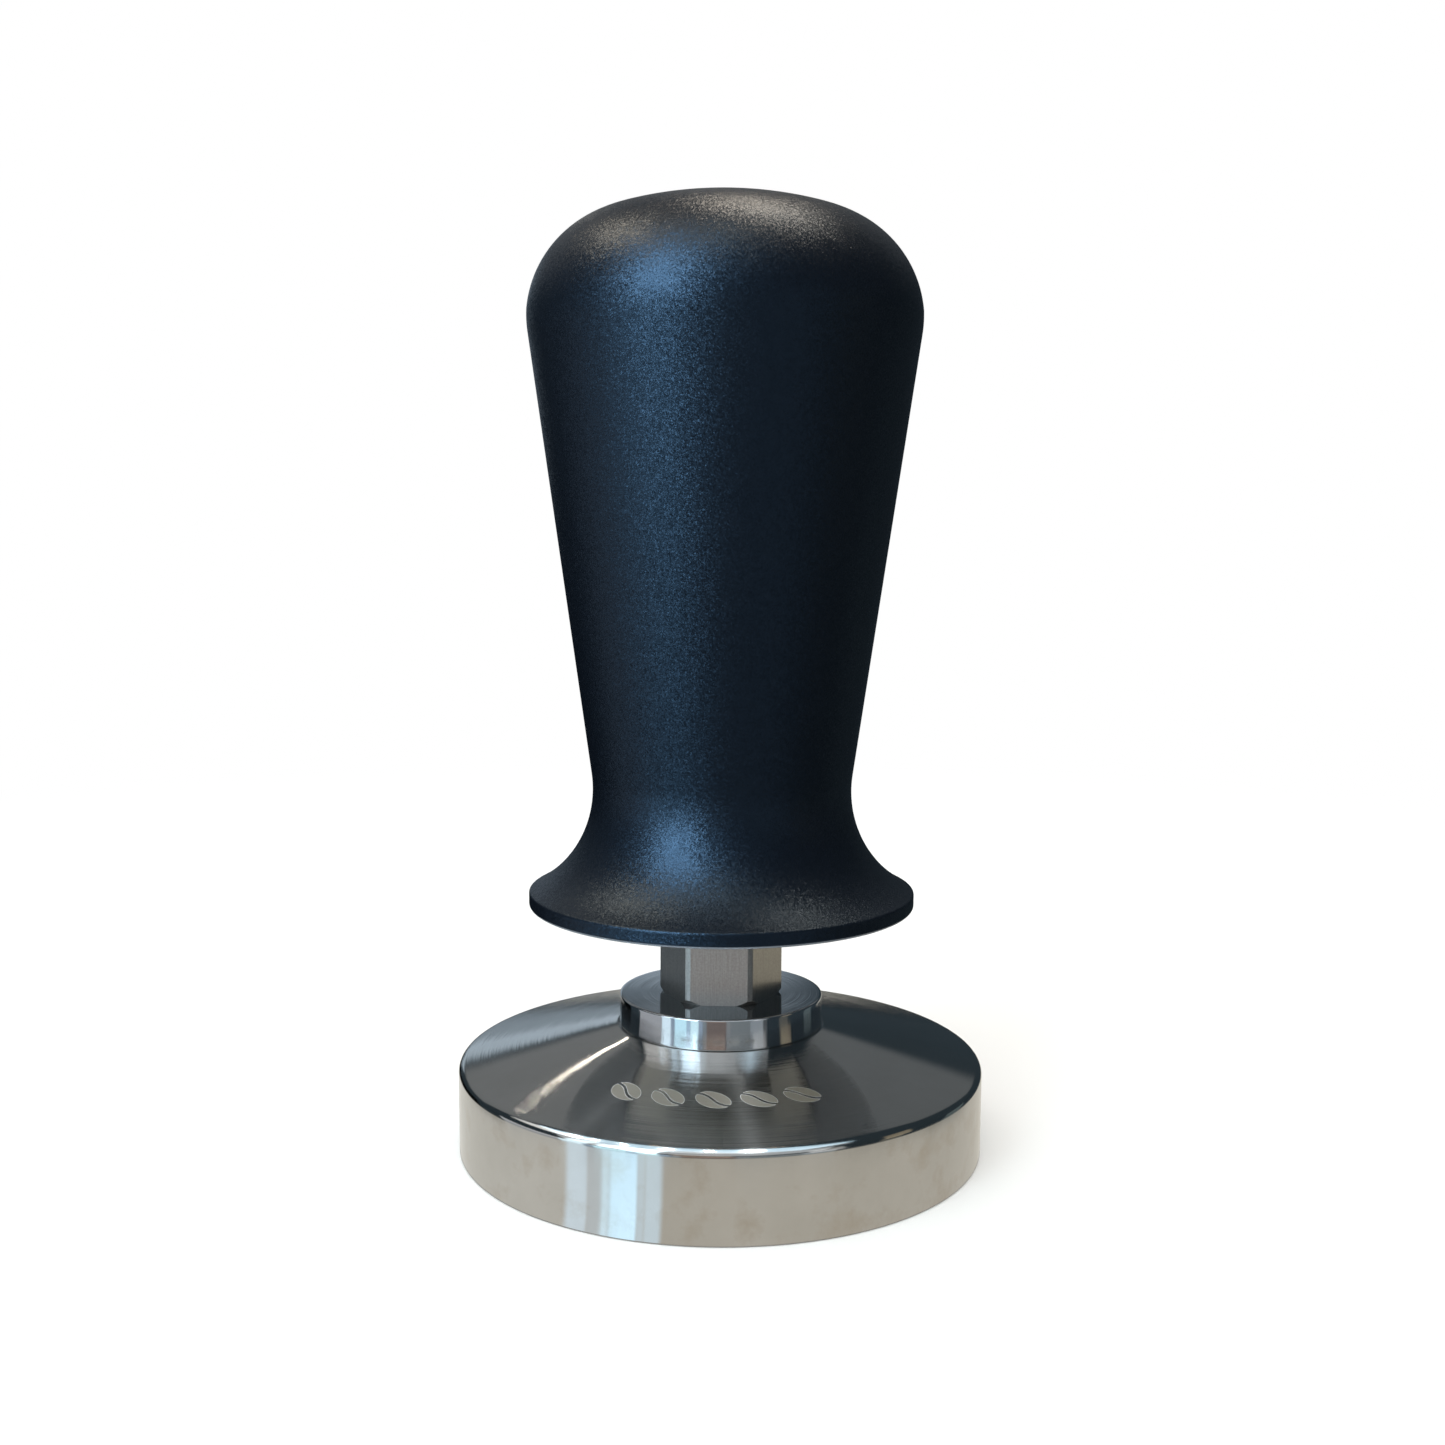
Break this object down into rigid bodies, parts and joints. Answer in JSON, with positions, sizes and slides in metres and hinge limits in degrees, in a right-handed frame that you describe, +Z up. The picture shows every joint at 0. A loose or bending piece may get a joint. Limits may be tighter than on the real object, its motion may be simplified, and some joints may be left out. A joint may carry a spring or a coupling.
{
  "type": "espresso tamper",
  "caption": "Spring-loaded espresso tamper: a polished steel base and collar on a hexagonal plunger that slides inside a flared black handle.",
  "frame": {"origin": "centre of the flat tamping face, on the surface the tamper stands on", "axes": "+Z up along the axis of base, plunger and handle; -Y faces one flat of the hexagonal plunger"},
  "size_m": [0.058, 0.058, 0.103],
  "materials": {
    "black_anodised": "bead-blasted and black anodised",
    "polished_steel": "turned and polished stainless steel with fine scratches",
    "milled_steel": "drawn hexagonal bar with fine lengthwise grain",
    "turned_steel": "turned",
    "black_steel": "black oxide on steel fasteners",
    "spring_steel": "drawn spring wire",
    "bronze": "turned bearing bronze",
    "bare_aluminium": "turned, clear anodised",
    "acetal": "machined acetal",
    "black_rubber": "matte"
  },
  "bodies": {
    "base": {"tamping_base": "polished_steel", "base_stud": "black_steel", "collar_seal": "black_rubber", "stop_collar": "polished_steel", "plunger_shaft": "milled_steel", "retaining_disc": "turned_steel", "lock_washer": "black_steel", "retaining_screw": "black_steel", "main_spring": "spring_steel"},
    "handle": {"handle_body": "black_anodised", "thrust_washer": "bronze", "spring_cap": "turned_steel", "preload_shims": "turned_steel", "bore_sleeve": "acetal", "guide_bush": "bare_aluminium", "guide_liner": "acetal", "guide_wiper": "black_rubber", "guide_lock_screws": "black_steel", "bush_seal": "black_rubber", "return_bumper": "black_rubber"}
  },
  "joints": [
    {"name": "plunger_slide", "type": "slide", "parent": "base", "child": "handle", "axis": [0, 0, -1], "range_m": [0, 0.0101], "stiffness_N_per_m": 4730, "springref_m": -0.018, "deforming": ["main_spring"]}
  ]
}
